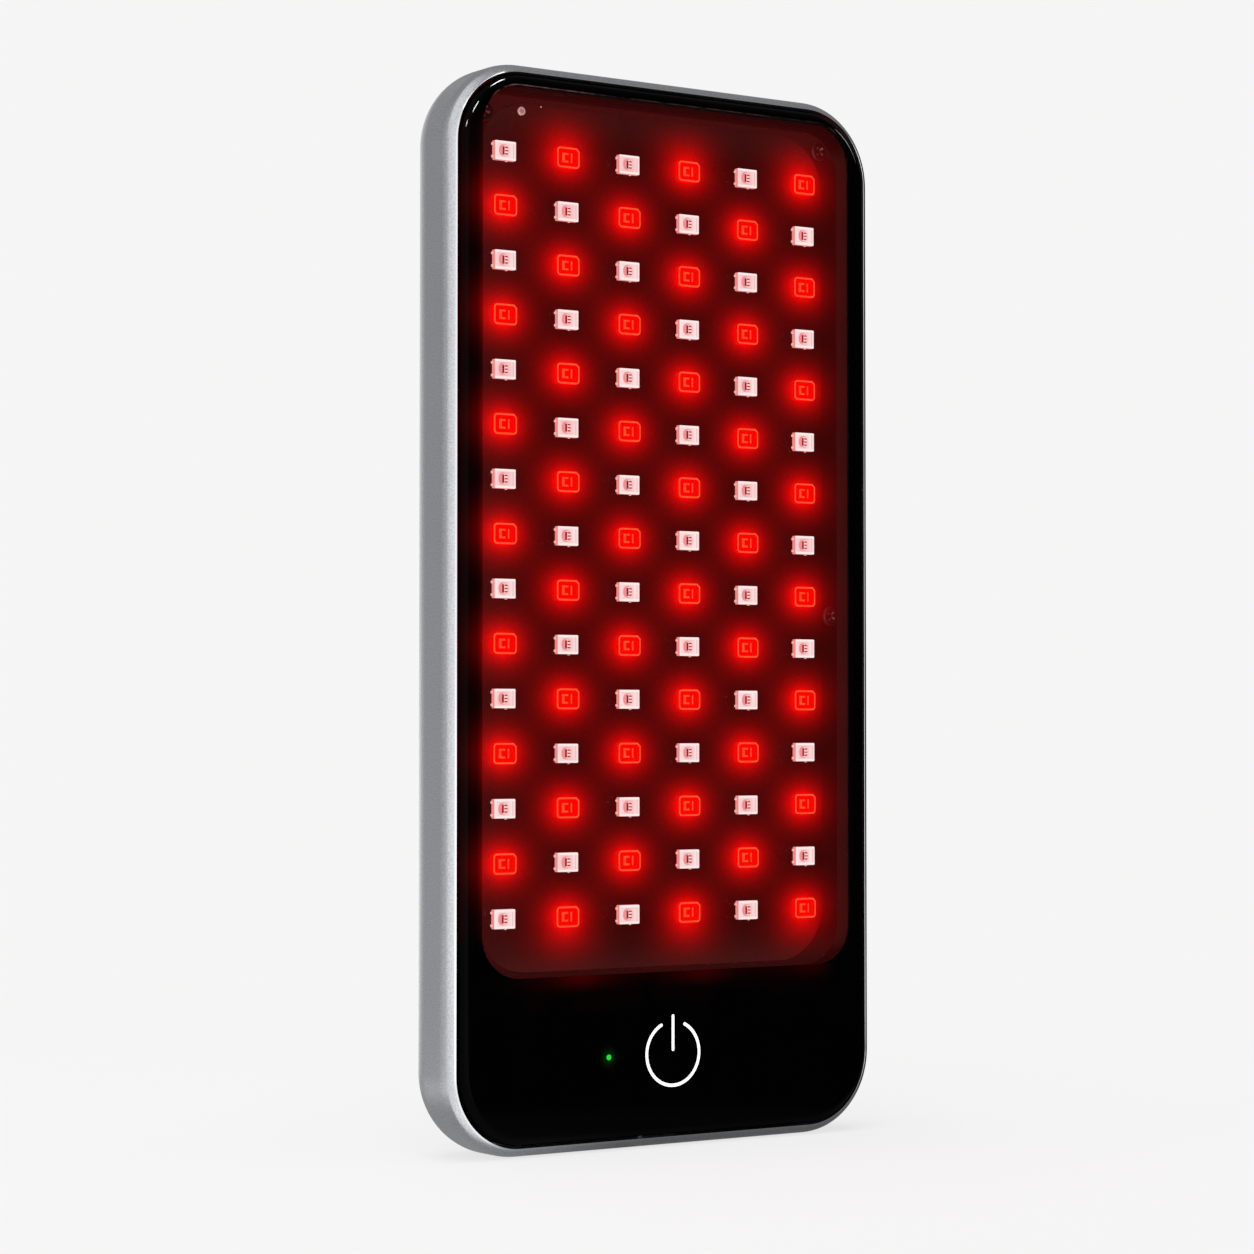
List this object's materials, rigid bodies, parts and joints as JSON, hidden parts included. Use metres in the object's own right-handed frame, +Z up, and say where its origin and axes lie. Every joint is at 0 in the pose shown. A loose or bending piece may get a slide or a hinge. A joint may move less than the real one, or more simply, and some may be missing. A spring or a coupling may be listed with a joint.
{
  "type": "red light therapy panel",
  "caption": "Hand-sized upright red light therapy panel: aluminium shell, gloss-black bezel with a clear window over a grid of lamps, touch key and charging port.",
  "frame": {"origin": "middle of the bottom edge, half way through the panel's depth", "axes": "+Z up along the panel's height, +X across it, -Y out of the lit front, +Y out of the flat back"},
  "size_m": [0.092, 0.0168, 0.19],
  "materials": {
    "shell_aluminium": "fine bead-blasted, anodised silver, with a bright cut lip",
    "frame_plastic": "moulded satin black",
    "clear_pane": "clear moulded pane, polished",
    "black_bezel": "gloss black, polished",
    "white_shot": "white translucent, lit from behind",
    "green_lens": "clear, lit green from behind",
    "black_tape": "black double-sided tape",
    "screw_steel": "plated steel",
    "board_mask": "dark solder mask",
    "plated_pin": "tinned",
    "lamp_red_body": "white lamp body filled with red light",
    "lamp_white_body": "white lamp body",
    "die_red": "lit crystal",
    "die_infrared": "dark crystal",
    "grey_silicone": "soft silicone",
    "plain_aluminium": "plain sheet",
    "clear_film": "polyester film",
    "pouch_foil": "foil pouch",
    "nickel": "nickel strip",
    "green_board": "solder mask",
    "chip_black": "moulded epoxy",
    "dark_foam": "closed-cell foam",
    "lead_insulation": "silicone insulation",
    "socket_plastic": "moulded connector",
    "port_steel": "drawn steel",
    "port_plastic": "moulded black",
    "copper": "copper foil",
    "gold_contact": "gold-plated pin",
    "clear_guide": "clear moulded",
    "capacitor_resin": "moulded resin",
    "ribbon_film": "polyimide film"
  },
  "bodies": {
    "root": {"rear_shell": "shell_aluminium", "mid_frame": "frame_plastic", "front_pane": "clear_pane", "black_bezel": "black_bezel", "power_symbol": "white_shot", "indicator_lens": "green_lens", "pane_tape": "black_tape", "frame_screws": "screw_steel", "light_board": "board_mask", "locating_pin": "plated_pin", "red_lamps": "lamp_red_body", "infrared_lamps": "lamp_white_body", "red_dies": "die_red", "infrared_dies": "die_infrared", "thermal_pad": "grey_silicone", "heat_spreader": "plain_aluminium", "insulating_sheet": "clear_film", "battery_cells": "pouch_foil", "cell_tabs": "nickel", "protection_board": "green_board", "protection_chips": "chip_black", "battery_foam": "dark_foam", "battery_leads": "lead_insulation", "battery_socket": "socket_plastic", "control_board": "green_board", "port_shell": "port_steel", "port_tongue": "port_plastic", "touch_foil": "copper", "touch_contact": "gold_contact", "light_guide": "clear_guide", "symbol_lamps": "lamp_white_body", "indicator_lamp": "lamp_white_body", "indicator_pipe": "clear_guide", "controller": "chip_black", "driver_chips": "chip_black", "coils": "chip_black", "capacitors": "capacitor_resin", "ribbon_socket": "socket_plastic", "light_ribbon": "ribbon_film", "thermistor": "chip_black"}
  },
  "joints": []
}
